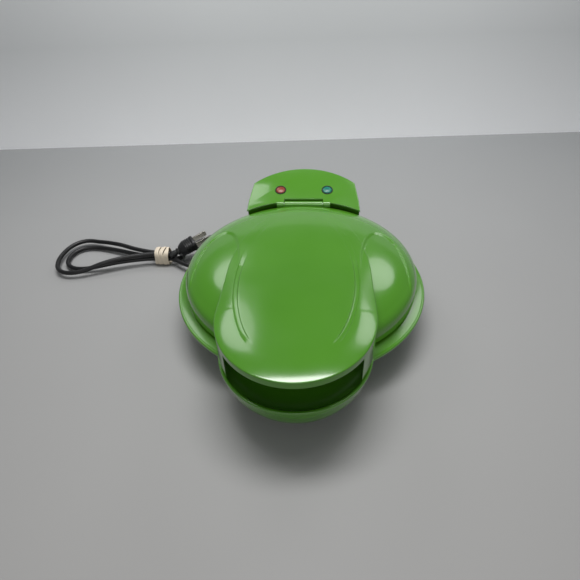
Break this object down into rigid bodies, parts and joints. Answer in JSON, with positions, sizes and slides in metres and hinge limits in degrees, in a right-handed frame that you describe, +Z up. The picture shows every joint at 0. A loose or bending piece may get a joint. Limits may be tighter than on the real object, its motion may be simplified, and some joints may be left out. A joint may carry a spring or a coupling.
{
  "type": "electric pie maker",
  "caption": "Round countertop pie maker with a hinged domed lid, rounded front handles, a rear hinge tower with two lights, and a tied mains lead.",
  "frame": {"origin": "middle of the footprint of the appliance without its lead, on the surface it stands on", "axes": "+Z up, -Y towards the handle and the user, +Y towards the hinge, +X to the user's right"},
  "size_m": [0.4072, 0.3191, 0.0836],
  "materials": {
    "green_plastic": "glossy moulded plastic",
    "black_plastic": "moulded black plastic",
    "rubber_black": "soft rubber",
    "nonstick": "cast aluminium with a dark non-stick coat",
    "steel": "plain steel",
    "lens_red": "clear red plastic",
    "lens_green": "clear green plastic",
    "white_plastic": "heat-proof white plastic",
    "cord_black": "flexible black sheath",
    "band_rubber": "plain beige rubber",
    "blade_brass": "plated blades"
  },
  "bodies": {
    "base": {"base_shell": "green_plastic", "tower_cover": "green_plastic", "bottom_cover": "black_plastic", "rubber_feet": "rubber_black", "bottom_screws": "steel", "lower_plate": "nonstick", "lower_plate_screws": "steel", "lower_heater": "steel", "heater_clamps": "steel", "lower_pan": "steel", "thermostat": "black_plastic", "thermal_fuse": "steel", "terminal_block": "white_plastic", "lamp_holders": "white_plastic", "red_lens": "lens_red", "green_lens": "lens_green", "hinge_pin": "steel", "strain_relief": "cord_black", "cord": "cord_black", "cord_hank": "cord_black", "hank_band": "band_rubber", "plug_body": "cord_black", "plug_blades": "blade_brass"},
    "lid": {"lid_shell": "green_plastic", "upper_plate": "nonstick", "upper_heater": "steel", "upper_clamps": "steel", "upper_pan": "steel", "upper_plate_screws": "steel"}
  },
  "joints": [
    {"name": "lid_hinge", "type": "hinge", "parent": "base", "child": "lid", "pos_m": [0, 0.1045, 0.0645], "axis": [-1, 0, 0], "range_deg": [0, 95]}
  ]
}
